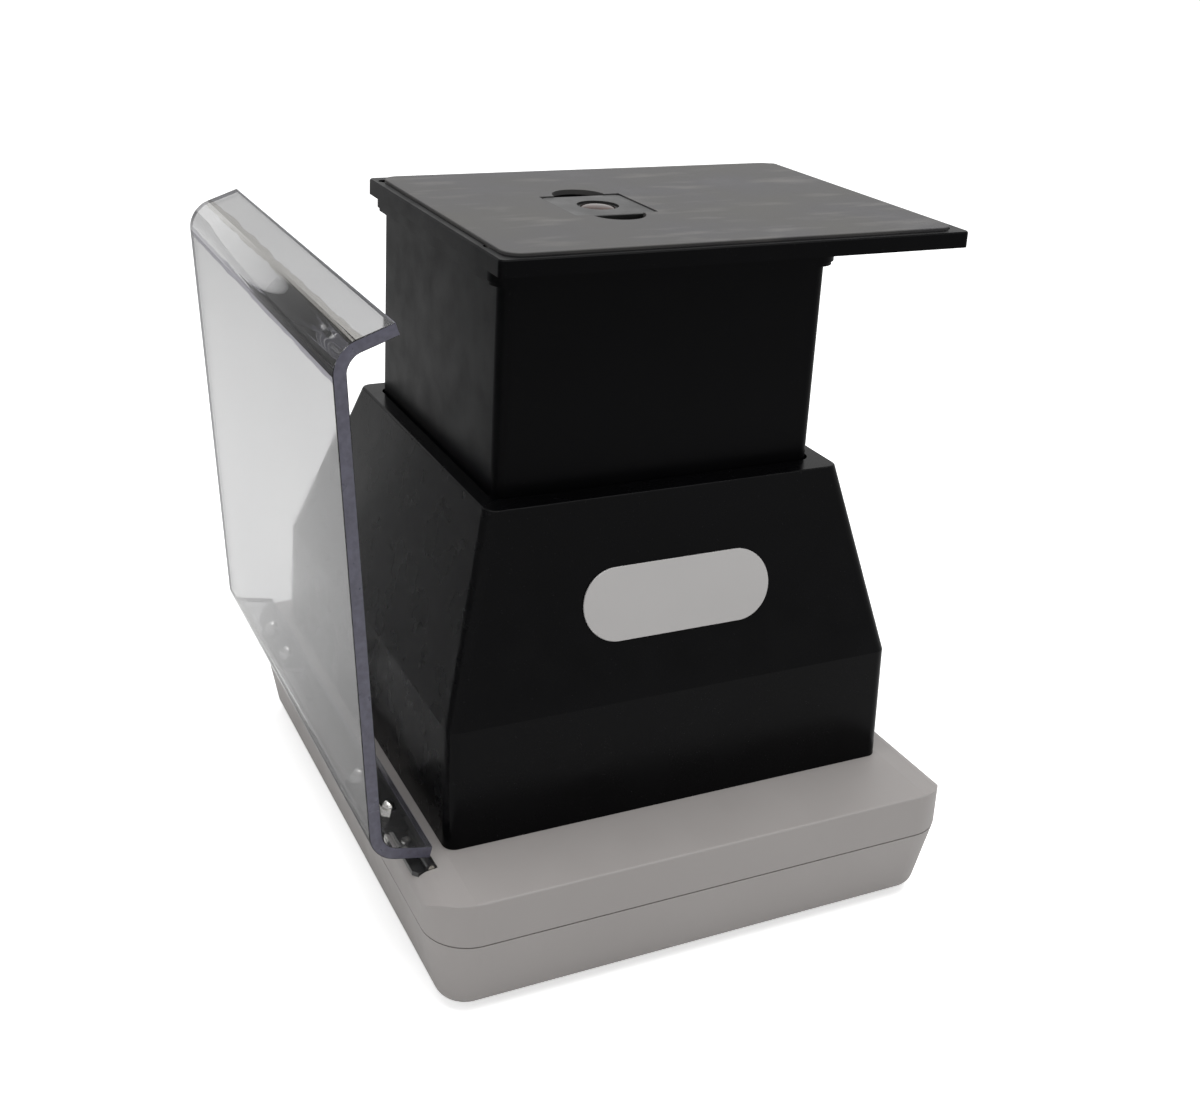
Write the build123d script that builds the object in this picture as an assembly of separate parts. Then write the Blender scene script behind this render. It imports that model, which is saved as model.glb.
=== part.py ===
from build123d import *
from math import cos, hypot, radians, sin, sqrt, tan
import os

# Bench light box for gels, with a black viewing hood on its deck and a clear shield hinged at its left.
# Millimetres. +X is to the right of the front, +Y to the back and +Z up.
# The origin lies on the bench under the middle of the whole footprint.

# Places of the two groups of pieces: the base is centred in depth, the hood stands behind its middle
centreline_x = 9.5
hood_setback = 12.0

# Base housing
base_width = 278.0
base_depth = 320.0
deck_height = 64.0
parting_height = 42.0
base_corner_radius = 22.0
base_wall = 3.0
deck_flat_width = 241.0
side_strip_width = 10.0
side_strip_fall = 1.5
deck_edge_round = 1.0
tray_draft = 12.0
tray_edge_radius = 8.0
tongue_thickness = 1.5
tongue_height = 3.0
tongue_root = 4.0
mould_gap = 0.25
seam_height = 0.7
seam_depth = 0.7

# Feet, posts and base screws
foot_height = 3.0
foot_radius = 9.0
foot_chamfer = 0.75
foot_inset_x = 30.0
foot_inset_y = 32.0
foot_plug_radius = 4.0
foot_plug_height = 2.0
post_radius = 5.5
post_inset_x = 19.0
post_inset_y = 28.0
post_meet_height = 30.0
screw_radius = 2.0
screw_head_radius = 3.6
screw_head_height = 2.6
screw_socket_radius = 1.2
screw_socket_depth = 1.3
screw_bite = 14.0
screw_clearance = 0.3
thread_clearance = 0.05

# Floor vents
vent_count = 7
vent_pitch = 11.0
vent_width = 3.0
vent_length = 30.0

# Filter glass in the deck and the steel frame that holds it down
window_width = 200.0
window_depth = 160.0
glass_lap = 4.0
glass_thickness = 4.0
glass_gap = 0.3
window_frame_drop = 8.0
window_frame_wall = 7.0
bezel_lap = 4.0
bezel_width = 9.0
bezel_thickness = 1.0
bezel_inner_radius = 1.5

# Lamps, their end bars, the reflector and the ballasts
lamp_count = 4
lamp_pitch = 42.0
lamp_setback = 6.0
lamp_radius = 8.0
lamp_end_room = 108.0
lamp_height = 32.0
lamp_cap_length = 9.0
lamp_cap_radius = 8.4
lamp_pin_side = 2.2
lamp_pin_length = 6.0
lamp_pin_spread = 2.5
lamp_bar_thickness = 9.0
lamp_bar_side = 14.0
lamp_bar_top = 12.0
reflector_height = 18.0
reflector_sheet = 1.0
reflector_side_height = 16.0
reflector_side_lean = 20.0
reflector_post_radius = 5.0
reflector_post_spread_x = 70.0
reflector_post_spread_y = 80.0
ballast_width = 104.0
ballast_depth = 34.0
ballast_height = 27.0
ballast_spacing = 118.0
ballast_front_gap = 4.0
ballast_edge_round = 2.0
ballast_top_chamfer = 1.0

# Rear connection panel, recessed in the tray
panel_width = 150.0
panel_height = 24.5
panel_thickness = 2.0
panel_bottom = 11.0
panel_setback = 10.0
panel_ledge = 2.5
panel_ledge_depth = 3.0
panel_block_margin = 4.0
panel_gap = 0.2
panel_slot_count = 9
panel_slot_pitch = 5.0
panel_slot_width = 2.0
panel_slot_height = 14.0
panel_slot_x = 38.0
panel_screw_radius = 1.5
panel_screw_head = 2.8
panel_screw_head_height = 1.8
panel_screw_slot_width = 0.9
panel_screw_slot_depth = 0.9
panel_screw_inset = 5.0

# Mains inlet
inlet_x = -48.0
inlet_flange_width = 31.0
inlet_flange_height = 23.0
inlet_flange_thickness = 2.0
inlet_body_width = 27.0
inlet_body_height = 19.4
inlet_body_depth = 18.0
inlet_mouth_width = 24.0
inlet_mouth_height = 16.0
inlet_mouth_depth = 16.5
inlet_mouth_chamfer = 3.5
inlet_pin_width = 4.0
inlet_pin_thickness = 2.0
inlet_pin_length = 10.0
inlet_pin_spread = 7.0
inlet_pin_offset = 2.0

# Rocker switch
switch_x = -14.0
switch_width = 15.0
switch_height = 21.0
switch_flange_thickness = 1.6
switch_body_width = 13.0
switch_body_height = 19.2
switch_body_depth = 12.0
rocker_width = 10.4
rocker_radius = 8.3
rocker_gap = 0.3
rocker_tilt = 10.0
rocker_pivot_depth = 3.0
rocker_back = 1.6
rocker_proud = 4.4
rocker_dip = 3.4
rocker_pin_radius = 1.0
rocker_pin_length = 0.9
rocker_pin_clearance = 0.05

# Fuse holder beside the switch
fuse_x = 8.0
fuse_flange_radius = 7.5
fuse_flange_thickness = 1.8
fuse_body_radius = 6.0
fuse_body_depth = 25.0
fuse_floor = 1.5
fuse_bore_radius = 5.0
fuse_cap_radius = 4.7
fuse_cap_head_radius = 6.4
fuse_cap_head_height = 2.6
fuse_cap_stem = 5.0
fuse_cap_gap = 0.3
fuse_slot_width = 1.2
fuse_slot_depth = 1.4
fuse_radius = 2.6
fuse_length = 20.0

# Clear shield: one bent sheet with two flared lips, and its hinge line by the deck
sheet_thickness = 6.0
bend_radius = 9.0
shield_lean = 4.3
lip_flare = 16.0
shield_height = 231.5
lip_length = 24.0
shield_front = -134.0
shield_back = 137.0
hinge_axis_x = -130.0
hinge_axis_drop = 1.0

# Hinges: two alike, each with a long fixed leaf and a short moving leaf bolted under the lower lip
hinge_places = (-101.0, 63.0)
knuckle_radius = 2.6
hinge_pin_radius = 1.4
hinge_pin_clearance = 0.05
hinge_clearance = 0.3
leaf_thickness = 2.3
fixed_leaf_front = 37.0
fixed_leaf_back = 44.0
fixed_leaf_reach = 8.5
moving_leaf_length = 46.0
moving_leaf_offset = 12.0
moving_knuckle_length = 24.0
moving_leaf_reach = 18.0
bolt_radius = 2.0
bolt_spacing = 32.0
bolt_reach = 12.5
bolt_head_radius = 3.4
bolt_head_height = 2.0
nut_flats = 7.0
nut_height = 3.2
nut_dome_radius = 2.9
nut_dome_height = 3.0
nut_dome_round = 2.3
hinge_pocket_drop = 4.0
hinge_boss_drop = 9.0
hinge_boss_inset = 6.0
hinge_screw_radius = 1.25
hinge_screw_head_radius = 2.4
hinge_screw_head_height = 2.0
hinge_screw_length = 9.0
hinge_screw_reach = 5.5
hinge_screw_socket = 1.2
hinge_screw_socket_depth = 1.0
hinge_screw_margin = 5.5

# Hood: upright skirt, a crease, then four leaning faces up to a flat rim
hood_width = 240.0
hood_depth = 260.5
hood_crease_width = 239.0
hood_crease_front = -128.4
hood_crease_back = 126.0
hood_crease_height = 60.0
hood_rim_width = 189.2
hood_rim_front = -104.6
hood_rim_back = 85.2
hood_rim_height = 156.0
hood_corner_radius = 6.0
hood_wall = 3.0
hood_rim_round = 1.2
sleeve_wall = 2.5
sleeve_length = 24.0

# Blank name plate on the hood's front
plate_width = 100.0
plate_height = 35.5
plate_thickness = 1.2
plate_rise = 47.5
plate_edge_round = 0.4

# Telescoping tower
tower_width = 170.8
tower_front = -91.0
tower_back = 75.0
tower_wall = 2.5
tower_corner_radius = 6.0
tower_exposed = 109.0
tower_gap = 1.3
pad_thickness = 1.0
pad_height = 14.0
pad_length = 60.0
stop_width = 3.5
stop_height = 4.0
travel_gap = 0.3
collar_proud = 4.6
collar_height = 8.5
collar_gap = 0.2
collar_lip_height = 2.0

# Tray on the tower, with its mat and the square pocket of the filter
tray_left = -93.4
tray_right = 155.4
tray_front = -108.0
tray_back = 76.0
tray_thickness = 8.0
tray_corner_radius = 3.0
tray_edge_chamfer = 0.6
mat_inset = 5.0
mat_corner_radius = 9.0
mat_thickness = 2.5
mat_recess = 1.0
mat_gap = 0.5
mat_edge_round = 0.6
tray_screw_radius = 1.6
tray_screw_head_radius = 3.0
tray_screw_head_height = 1.8
tray_screw_socket_radius = 0.8
tray_screw_socket_depth = 0.9
tray_screw_length = 7.0
tray_screw_inset = 9.0

# Filter holder in the pocket
holder_side = 44.0
holder_corner_radius = 4.0
holder_thickness = 5.0
holder_gap = 0.3
holder_x = -4.0
holder_y = -16.5
pocket_depth = 4.0
finger_radius = 14.0
view_hole_radius = 14.0
lens_radius = 9.0
lens_step_radius = 10.6
lens_step_depth = 1.2
lens_seat_radius = 12.0
lens_seat_depth = 3.2
lens_glass_radius = 11.8
lens_glass_thickness = 1.8
lens_ring_radius = 11.85
lens_ring_bore = 9.6
lens_ring_notch = 1.6

# Worked out from the sizes above
tray_floor = foot_height + base_wall
rim_z = deck_height + hood_rim_height
crease_z = deck_height + hood_crease_height
tray_z = rim_z + tower_exposed
tray_top = tray_z + tray_thickness
mat_top = tray_top - mat_recess + mat_thickness
pocket_floor = tray_top - pocket_depth
sleeve_bottom = rim_z - hood_wall - sleeve_length
tower_bottom = sleeve_bottom - travel_gap - stop_height
tower_depth = tower_back - tower_front
tower_mid = (tower_back + tower_front) / 2
bar_top = lamp_height + lamp_bar_top
panel_mid = panel_bottom + panel_height / 2
panel_face_y = base_depth / 2 - panel_setback
lamp_length = base_depth - lamp_end_room
lip_angle = shield_lean - lip_flare
hinge_axis_z = deck_height - hinge_axis_drop
pocket_seat = deck_height - hinge_pocket_drop


def block(x_span, y_span, z_span):
    """A box between two values along each axis."""
    size = [high - low for low, high in (x_span, y_span, z_span)]
    middle = [(high + low) / 2 for low, high in (x_span, y_span, z_span)]
    return Pos(*middle) * Box(*size)


def plate(width, depth, height, radius, z=0.0):
    """A flat plate with rounded corners in plan, standing on height z."""
    return Pos(0, 0, z) * extrude(RectangleRounded(width, depth, radius), height)


def rod(radius, length, x=0.0, y=0.0, z=0.0):
    """An upright cylinder that stands on height z."""
    return Pos(x, y, z + length / 2) * Cylinder(radius, length)


def hex_socket(radius, depth, x, y, z):
    """The six-sided recess of a socket screw, from height z."""
    return Pos(x, y, z) * extrude(RegularPolygon(radius, 6), depth)


def rod_along_y(radius, start, end, x=0.0, z=0.0):
    """A cylinder along the depth, between two values of y."""
    return Pos(x, (start + end) / 2, z) * Rot(90, 0, 0) * Cylinder(radius, end - start)


def corners(half_x, half_y):
    """The four places of a rectangle of fastenings."""
    return [(side_x * half_x, side_y * half_y) for side_x in (-1, 1) for side_y in (-1, 1)]


def joined(solids):
    """Several separate solids as one node."""
    return Compound(list(solids))


# Base housing


def upper_section(inset):
    """Section across the upper housing: flat deck, falling side strips, round shoulders, upright walls."""
    half = base_width / 2 - inset
    flat = deck_flat_width / 2
    strip = flat + side_strip_width
    top = deck_height - inset
    strip_z = top - side_strip_fall
    shoulder = half - strip
    middle = shoulder / sqrt(2)
    low = strip_z - shoulder
    right_arc = ((strip, strip_z), (strip + middle, low + middle), (half, low))
    left_arc = [(-x, z) for x, z in reversed(right_arc)]
    with BuildSketch(Plane.XZ) as section:
        with BuildLine():
            Polyline((half, low), (half, parting_height), (-half, parting_height), (-half, low))
            ThreePointArc(*left_arc)
            Polyline((-strip, strip_z), (-flat, top), (flat, top), (strip, strip_z))
            ThreePointArc(*right_arc)
        make_face()
    return section.sketch


def upper_body(inset):
    """The section run through the depth, with the upright corners of the plan rounded."""
    depth = base_depth - 2 * inset
    run = extrude(upper_section(inset), depth / 2, both=True)
    radius = base_corner_radius - inset
    return run & plate(base_width - 2 * inset, depth, base_depth, radius, parting_height)


def round_deck_edges(body):
    """Break the crisp front and back edges of the flat deck."""
    edges = [
        edge
        for edge in body.edges().filter_by(Axis.X)
        if edge.center().Z > deck_height - base_wall / 2
    ]
    return fillet(edges, deck_edge_round)


def post_places():
    return corners(base_width / 2 - post_inset_x, base_depth / 2 - post_inset_y)


def hinge_pocket(place):
    """The seat that one hinge needs in the left shoulder of the deck."""
    inner = hinge_axis_x + knuckle_radius + hinge_clearance
    front = place - fixed_leaf_front - hinge_clearance + hood_setback
    back = place + fixed_leaf_back + hinge_clearance + hood_setback
    return block((-base_width, inner), (front, back), (pocket_seat, deck_height + base_wall))


def hinge_boss(place):
    """Solid moulding under one hinge pocket, for the screws to bite in."""
    inner = hinge_axis_x + knuckle_radius + hinge_clearance + hinge_boss_inset
    front = place - fixed_leaf_front - hinge_boss_inset + hood_setback
    back = place + fixed_leaf_back + hinge_boss_inset + hood_setback
    return block((-base_width / 2, inner), (front, back), (pocket_seat - hinge_boss_drop, deck_height))


def hinge_screw_places(place):
    """Screw centres of one fixed leaf, just clear of both ends of the moving leaf."""
    x = hinge_axis_x - hinge_screw_reach
    reach = moving_leaf_length / 2 + hinge_screw_margin
    middle = place + moving_leaf_offset
    return [(x, middle - reach), (x, middle + reach)]


def make_base_upper_cover():
    outer = upper_body(0.0)
    shell = round_deck_edges(outer) - upper_body(base_wall) + window_frame()
    for place in hinge_places:
        shell += hinge_boss(place) & outer
    post_length = deck_height - base_wall - post_meet_height
    for x, y in post_places():
        shell += rod(post_radius, post_length, x, y, post_meet_height)
        shell -= rod(screw_radius + thread_clearance, screw_bite + screw_clearance, x, y, post_meet_height)
    for place in hinge_places:
        shell -= hinge_pocket(place)
        for x, y in hinge_screw_places(place):
            bore = rod(hinge_screw_radius + thread_clearance, hinge_screw_length, x, y + hood_setback)
            shell -= Pos(0, 0, pocket_seat - hinge_screw_length) * bore
    return shell - window_cut()


def window_frame():
    """The deeper rim under the deck that carries the filter glass."""
    width = window_width + 2 * (glass_lap + window_frame_wall)
    depth = window_depth + 2 * (glass_lap + window_frame_wall)
    rim = Box(width, depth, window_frame_drop)
    return Pos(0, hood_setback, deck_height - window_frame_drop / 2) * rim


def window_cut():
    """The opening in the deck and the rebate that the filter glass lies in."""
    opening = plate(window_width, window_depth, deck_height, base_wall, parting_height)
    rebate_width = window_width + 2 * (glass_lap + glass_gap)
    rebate_depth = window_depth + 2 * (glass_lap + glass_gap)
    rebate = plate(rebate_width, rebate_depth, deck_height, base_wall, deck_height - glass_thickness)
    return Pos(0, hood_setback, 0) * (opening + rebate)


def tray_body(inset):
    """The lower housing: walls that lean in towards a rounded bottom edge."""
    low = foot_height + inset
    lean = (parting_height - low) * tan(radians(tray_draft))
    top_width = base_width - 2 * inset
    top_depth = base_depth - 2 * inset
    radius = base_corner_radius - inset
    top = Pos(0, 0, parting_height) * RectangleRounded(top_width, top_depth, radius)
    bottom_radius = max(radius - lean, base_wall)
    bottom = RectangleRounded(top_width - 2 * lean, top_depth - 2 * lean, bottom_radius)
    body = loft([Pos(0, 0, low) * bottom, top], ruled=True)
    edge_radius = tray_edge_radius - inset
    return fillet(body.faces().sort_by(Axis.Z)[0].edges(), edge_radius)


def tongue():
    """The thin rim that stands up inside the upper cover and lines the two halves up."""
    inset = base_wall + mould_gap
    outer = base_ring_plan(inset, tongue_height, parting_height)
    root = base_ring_plan(base_wall / 2 + mould_gap, tongue_root, parting_height - tongue_root)
    step = inset + tongue_thickness
    inner = base_ring_plan(step, tongue_height + tongue_root, parting_height - tongue_root)
    return outer + root - inner


def seam_groove():
    """The shadow line that runs round the housing, just under its parting."""
    low = parting_height - seam_height
    return base_ring_plan(-mould_gap, seam_height, low) - base_ring_plan(seam_depth, seam_height, low)


def base_ring_plan(inset, height, z):
    """The plan of the housing at its parting, set in by a margin."""
    radius = base_corner_radius - inset
    return plate(base_width - 2 * inset, base_depth - 2 * inset, height, radius, z)


def panel_span(margin):
    """X and Z limits of the rear panel, grown by a margin."""
    half = panel_width / 2 + margin
    return (-half, half), (panel_bottom - margin, panel_bottom + panel_height + margin)


def panel_recess():
    """The pocket for the rear panel and the window behind it."""
    seat = panel_face_y - panel_thickness
    x_span, z_span = panel_span(panel_gap)
    recess = block(x_span, (seat, base_depth), z_span)
    x_span, z_span = panel_span(-panel_ledge)
    half = panel_width / 2 - 2 * panel_screw_inset
    window = block((-half, half), (seat - 2 * panel_ledge_depth, base_depth), z_span)
    return recess + window


def panel_block():
    """Solid moulding in the tray's rear wall that the panel recess is cut into."""
    half = panel_width / 2 + panel_block_margin
    seat = panel_face_y - panel_thickness
    return block((-half, half), (seat - panel_ledge_depth, base_depth / 2), (foot_height, parting_height))


def floor_vents():
    """A row of slots through the floor under each ballast."""
    slots = []
    y = ballast_y()
    for side in (-1, 1):
        for step in range(vent_count):
            x = side * ballast_spacing / 2 + (step - (vent_count - 1) / 2) * vent_pitch
            slots.append(Pos(x, y, tray_floor) * Box(vent_width, vent_length, 2 * base_wall))
    return slots


def ballast_y():
    """Middle of the ballasts, just inside the front wall."""
    front = -base_depth / 2 + (parting_height - tray_floor) * tan(radians(tray_draft)) + base_wall
    return front + ballast_front_gap + ballast_depth / 2


def foot_places():
    return corners(base_width / 2 - foot_inset_x, base_depth / 2 - foot_inset_y)


def reflector_post_places():
    return [(x, y + lamp_setback) for x, y in corners(reflector_post_spread_x, reflector_post_spread_y)]


def make_base_lower_tray():
    outer = tray_body(0.0)
    shell = outer - tray_body(base_wall)
    shell += tongue()
    shell -= seam_groove()
    shell += panel_block() & outer
    for x, y in post_places():
        shell += rod(post_radius, post_meet_height - tray_floor, x, y, tray_floor)
    for x, y in reflector_post_places():
        shell += rod(reflector_post_radius, reflector_height - tray_floor, x, y, tray_floor)
    shell -= panel_recess()
    for x, y in panel_screw_places():
        seat = panel_face_y - panel_thickness
        shell -= rod_along_y(panel_screw_radius + thread_clearance, seat - panel_ledge_depth, seat, x, y)
    for slot in floor_vents():
        shell -= slot
    for x, y in post_places():
        shell -= rod(screw_radius + screw_clearance, post_meet_height, x, y, 0)
        shell -= rod(screw_head_radius + screw_clearance, tray_floor, x, y, 0)
    for x, y in foot_places():
        shell -= rod(foot_plug_radius + thread_clearance, foot_plug_height + foot_height, x, y, 0)
    return shell


def make_base_feet():
    feet = []
    for x, y in foot_places():
        pad = rod(foot_radius, foot_height, x, y)
        pad = chamfer(pad.edges().group_by(Axis.Z)[0], foot_chamfer)
        plug = rod(foot_plug_radius, foot_plug_height + foot_height, x, y)
        feet.append(pad + plug)
    return joined(feet)


def make_base_screws():
    screws = []
    for x, y in post_places():
        head = rod(screw_head_radius, screw_head_height, x, y, tray_floor - screw_head_height)
        shank_top = post_meet_height + screw_bite
        shank = rod(screw_radius, shank_top - tray_floor, x, y, tray_floor)
        socket = hex_socket(screw_socket_radius, screw_socket_depth, x, y, tray_floor - screw_head_height)
        screws.append(head + shank - socket)
    return joined(screws)


# Filter glass and its frame


def window_plate(grow, radius, height, z):
    """A plate with the window's outline, grown by a margin."""
    return plate(window_width + 2 * grow, window_depth + 2 * grow, height, radius, z)


def make_uv_filter_glass():
    """Glass with a ground step round its edge, so that its face comes level with the frame."""
    glass = window_plate(glass_lap, base_wall, glass_thickness, deck_height - glass_thickness)
    face_grow = -bezel_lap - glass_gap
    glass += window_plate(face_grow, bezel_inner_radius - glass_gap, bezel_thickness, deck_height)
    return Pos(0, hood_setback, 0) * glass


def make_glass_bezel():
    outer = window_plate(bezel_width, base_wall, bezel_thickness, deck_height)
    inner = window_plate(-bezel_lap, bezel_inner_radius, bezel_thickness, deck_height)
    return Pos(0, hood_setback, 0) * (outer - inner)


# Lamps and what feeds them


def lamp_places():
    return [(step - (lamp_count - 1) / 2) * lamp_pitch for step in range(lamp_count)]


def pin_places(x):
    """The two contact pins at one lamp end, side by side."""
    return [x - lamp_pin_spread, x + lamp_pin_spread]


def lamp_pin(x, y_span, clearance):
    """A square contact pin, or with a clearance the hole that takes it."""
    half = lamp_pin_side / 2 + clearance
    return block((x - half, x + half), y_span, (lamp_height - half, lamp_height + half))


def make_uv_lamps():
    lamps = []
    half = lamp_length / 2
    for x in lamp_places():
        lamp = rod_along_y(lamp_radius, -half, half, x, lamp_height)
        for side in (-1, 1):
            ends = sorted((side * half, side * (half - lamp_cap_length)))
            lamp += rod_along_y(lamp_cap_radius, ends[0], ends[1], x, lamp_height)
            tips = sorted((side * half, side * (half + lamp_pin_length)))
            for pin_x in pin_places(x):
                lamp += lamp_pin(pin_x, tips, 0.0)
        lamps.append(lamp)
    return Pos(0, lamp_setback, 0) * joined(lamps)


def make_lamp_end_bars():
    """Two bars that the lamp pins plug into, standing on the reflector."""
    bars = []
    half_width = (lamp_count - 1) * lamp_pitch / 2 + lamp_bar_side
    low = reflector_height + reflector_sheet
    for side in (-1, 1):
        face = side * lamp_length / 2
        y_span = sorted((face, face + side * lamp_bar_thickness))
        bar = block((-half_width, half_width), y_span, (low, bar_top))
        for x in lamp_places():
            for pin_x in pin_places(x):
                bar -= lamp_pin(pin_x, y_span, thread_clearance)
        bars.append(bar)
    return Pos(0, lamp_setback, 0) * joined(bars)


def make_reflector():
    """A folded sheet under the lamps, with sides that lean out."""
    half = (lamp_count - 1) * lamp_pitch / 2 + lamp_bar_side + reflector_sheet + mould_gap
    lean = reflector_side_height * tan(radians(reflector_side_lean))
    low = reflector_height
    top = reflector_height + reflector_side_height
    with BuildSketch(Plane.XZ) as section:
        with BuildLine() as fold:
            Polyline((-half - lean, top), (-half, low), (half, low), (half + lean, top))
            offset(fold.line, reflector_sheet, side=Side.LEFT)
        make_face()
    half_length = lamp_length / 2 + lamp_bar_thickness
    return Pos(0, lamp_setback, 0) * extrude(section.sketch, half_length, both=True)


def make_ballasts():
    """Two closed ballast cases on the floor, at the front."""
    cases = []
    for side in (-1, 1):
        case = plate(ballast_width, ballast_depth, ballast_height, ballast_edge_round, tray_floor)
        case = chamfer(case.faces().sort_by(Axis.Z)[-1].edges(), ballast_top_chamfer)
        cases.append(Pos(side * ballast_spacing / 2, ballast_y(), 0) * case)
    return joined(cases)


# Rear panel and its fittings


def panel_screw_places():
    reach = panel_width / 2 - panel_screw_inset
    return [(-reach, panel_mid), (reach, panel_mid)]


def make_rear_panel():
    x_span, z_span = panel_span(0.0)
    sheet = block(x_span, (panel_face_y - panel_thickness, panel_face_y), z_span)
    through = (panel_face_y - 2 * panel_thickness, panel_face_y + panel_thickness)
    width = inlet_body_width + 2 * panel_gap
    height = inlet_body_height + 2 * panel_gap
    sheet -= centred_block(inlet_x, width, through, height)
    width = switch_body_width + 2 * panel_gap
    height = switch_body_height + 2 * panel_gap
    sheet -= centred_block(switch_x, width, through, height)
    sheet -= rod_along_y(fuse_body_radius + panel_gap, through[0], through[1], fuse_x, panel_mid)
    for step in range(panel_slot_count):
        x = panel_slot_x + (step - (panel_slot_count - 1) / 2) * panel_slot_pitch
        sheet -= centred_block(x, panel_slot_width, through, panel_slot_height)
    for x, z in panel_screw_places():
        sheet -= rod_along_y(panel_screw_radius + panel_gap, through[0], through[1], x, z)
    return sheet


def centred_block(x, width, y_span, height):
    """A box centred on the panel's middle height."""
    x_span = (x - width / 2, x + width / 2)
    return block(x_span, y_span, (panel_mid - height / 2, panel_mid + height / 2))


def make_panel_screws():
    screws = []
    for x, z in panel_screw_places():
        head = rod_along_y(panel_screw_head, panel_face_y, panel_face_y + panel_screw_head_height, x, z)
        start = panel_face_y - panel_thickness - panel_ledge_depth
        screw = head + rod_along_y(panel_screw_radius, start, panel_face_y, x, z)
        head_top = panel_face_y + panel_screw_head_height
        slot_y = (head_top - panel_screw_slot_depth, head_top)
        slot_z = (z - panel_screw_slot_width / 2, z + panel_screw_slot_width / 2)
        screw -= block((x - panel_screw_head, x + panel_screw_head), slot_y, slot_z)
        screws.append(screw)
    return joined(screws)


def inlet_mouth():
    """The socket's mouth: two of its corners are cut off."""
    half_width = inlet_mouth_width / 2
    half_height = inlet_mouth_height / 2
    cut = inlet_mouth_chamfer
    with BuildSketch(Plane.XZ) as mouth:
        with BuildLine():
            Polyline(
                (-half_width, -half_height),
                (half_width, -half_height),
                (half_width, half_height - cut),
                (half_width - cut, half_height),
                (cut - half_width, half_height),
                (-half_width, half_height - cut),
                close=True,
            )
        make_face()
    return mouth.sketch


def make_mains_inlet():
    face = panel_face_y + inlet_flange_thickness
    flange = centred_block(inlet_x, inlet_flange_width, (panel_face_y, face), inlet_flange_height)
    flange = fillet(flange.edges().filter_by(Axis.Y), inlet_mouth_chamfer)
    body_y = (panel_face_y - inlet_body_depth, panel_face_y)
    inlet = flange + centred_block(inlet_x, inlet_body_width, body_y, inlet_body_height)
    mouth = extrude(inlet_mouth(), inlet_mouth_depth)
    inlet -= Pos(inlet_x, face, panel_mid) * mouth
    start = face - inlet_mouth_depth
    for x, z in ((-inlet_pin_spread, 0), (0, inlet_pin_offset), (inlet_pin_spread, 0)):
        pin_z = panel_mid - inlet_pin_offset / 2 + z
        x_span = (inlet_x + x - inlet_pin_thickness / 2, inlet_x + x + inlet_pin_thickness / 2)
        z_span = (pin_z - inlet_pin_width / 2, pin_z + inlet_pin_width / 2)
        inlet += block(x_span, (start, start + inlet_pin_length), z_span)
    return inlet


def make_switch_housing():
    face = panel_face_y + switch_flange_thickness
    flange = centred_block(switch_x, switch_width, (panel_face_y, face), switch_height)
    flange = fillet(flange.edges().filter_by(Axis.Y), switch_flange_thickness)
    body_y = (panel_face_y - switch_body_depth, panel_face_y)
    housing = flange + centred_block(switch_x, switch_body_width, body_y, switch_body_height)
    pocket_width = rocker_width + 2 * rocker_gap
    pocket_height = 2 * (rocker_radius + rocker_gap)
    floor = rocker_axis_y() - rocker_back - rocker_radius * sin(radians(2 * rocker_tilt))
    housing -= centred_block(switch_x, pocket_width, (floor, face + rocker_proud), pocket_height)
    pin_half = rocker_width / 2 + rocker_pin_length + rocker_gap
    bore = Rot(0, 90, 0) * Cylinder(rocker_pin_radius + rocker_pin_clearance, 2 * pin_half)
    return housing - Pos(switch_x, rocker_axis_y(), panel_mid) * bore


def rocker_axis_y():
    return panel_face_y + switch_flange_thickness - rocker_pivot_depth


def make_power_rocker():
    """A rocker with round ends about its pivot, and a front that dips in the middle, pressed at its top."""
    rim = rocker_pivot_depth + rocker_proud
    dip = rocker_pivot_depth + rocker_dip - rocker_proud / 2
    reach = rocker_radius
    disc = Rot(0, 90, 0) * Cylinder(rocker_radius, rocker_width)
    with BuildSketch(Plane.YZ) as section:
        with BuildLine():
            face = [(rim, -reach), (dip, 0), (rim, reach)]
            Polyline((-rocker_back, -reach), *face, (-rocker_back, reach), close=True)
        make_face()
    slab = extrude(section.sketch, rocker_width / 2, both=True)
    pin = Rot(0, 90, 0) * Cylinder(rocker_pin_radius, rocker_width + 2 * rocker_pin_length)
    rocker = (disc & slab) + pin
    return Pos(switch_x, rocker_axis_y(), panel_mid) * Rot(rocker_tilt, 0, 0) * rocker


def make_fuse_holder():
    face = panel_face_y + fuse_flange_thickness
    holder = rod_along_y(fuse_flange_radius, panel_face_y, face, fuse_x, panel_mid)
    holder += rod_along_y(fuse_body_radius, panel_face_y - fuse_body_depth, panel_face_y, fuse_x, panel_mid)
    return holder - rod_along_y(fuse_bore_radius, fuse_back(), face, fuse_x, panel_mid)


def fuse_back():
    """The inner end of the fuse holder's bore."""
    return panel_face_y - fuse_body_depth + fuse_floor


def make_fuse():
    """A glass fuse between the holder's end and the cap's stem."""
    start = fuse_back()
    return rod_along_y(fuse_radius, start, start + fuse_length, fuse_x, panel_mid)


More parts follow.
